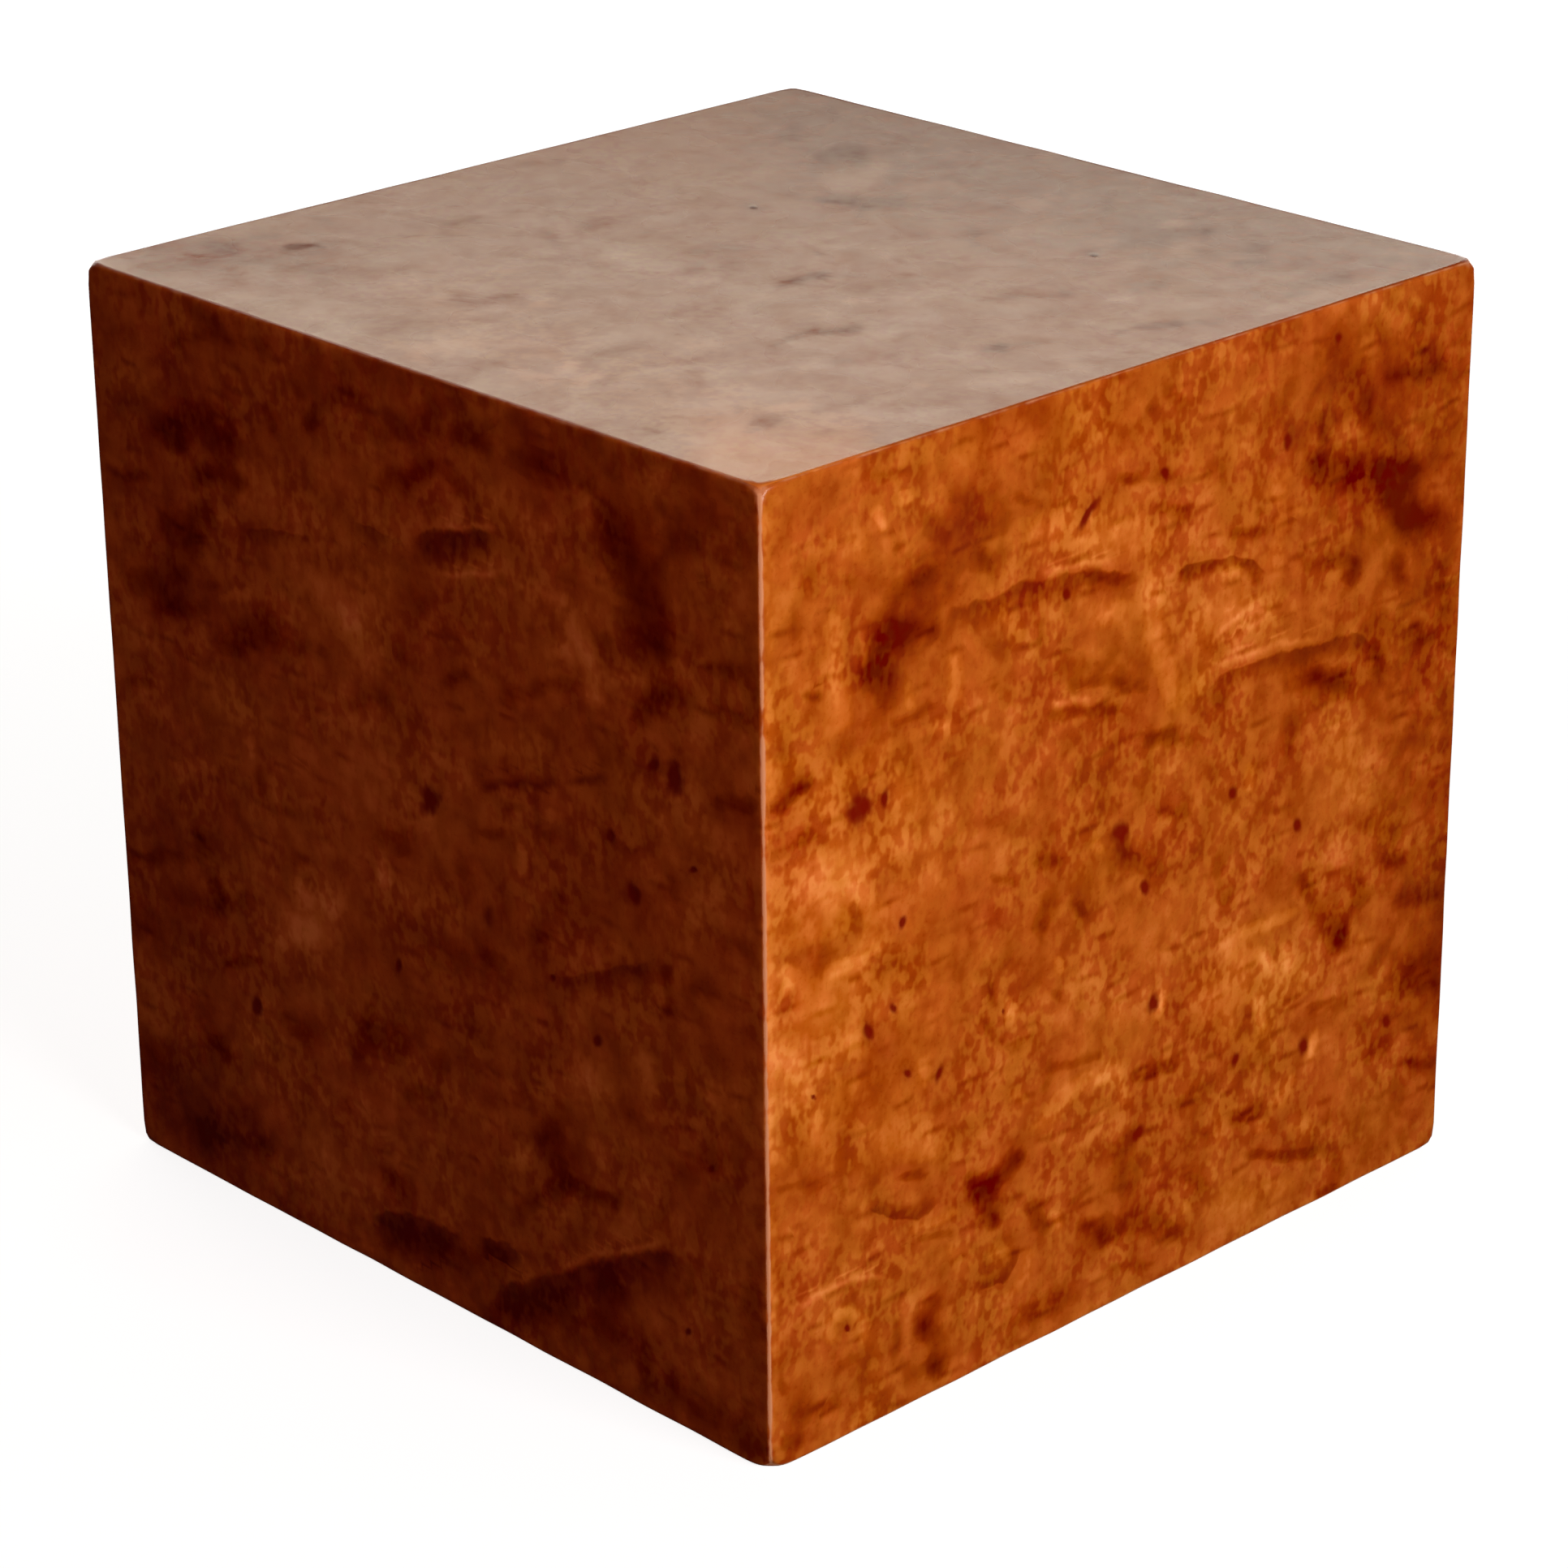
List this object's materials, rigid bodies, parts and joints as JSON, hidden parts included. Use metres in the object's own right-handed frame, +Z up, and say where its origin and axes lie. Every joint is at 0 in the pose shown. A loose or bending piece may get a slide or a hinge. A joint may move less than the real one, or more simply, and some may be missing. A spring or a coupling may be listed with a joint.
{
  "type": "burl wood block",
  "caption": "Solid cube of polished burl wood with eased edges, a free-standing block for a desk or bench that holds papers down, raises or carries a small thing, or spaces things apart.",
  "frame": {"origin": "middle of the flat foot, on the surface that the block stands on", "axes": "+Z up, -Y the front face, which is the picture's left face, and +X the picture's right face"},
  "size_m": [0.1, 0.1, 0.1],
  "materials": {
    "burl_wood": "satin"
  },
  "bodies": {
    "root": {"wood_block": "burl_wood"}
  },
  "joints": []
}
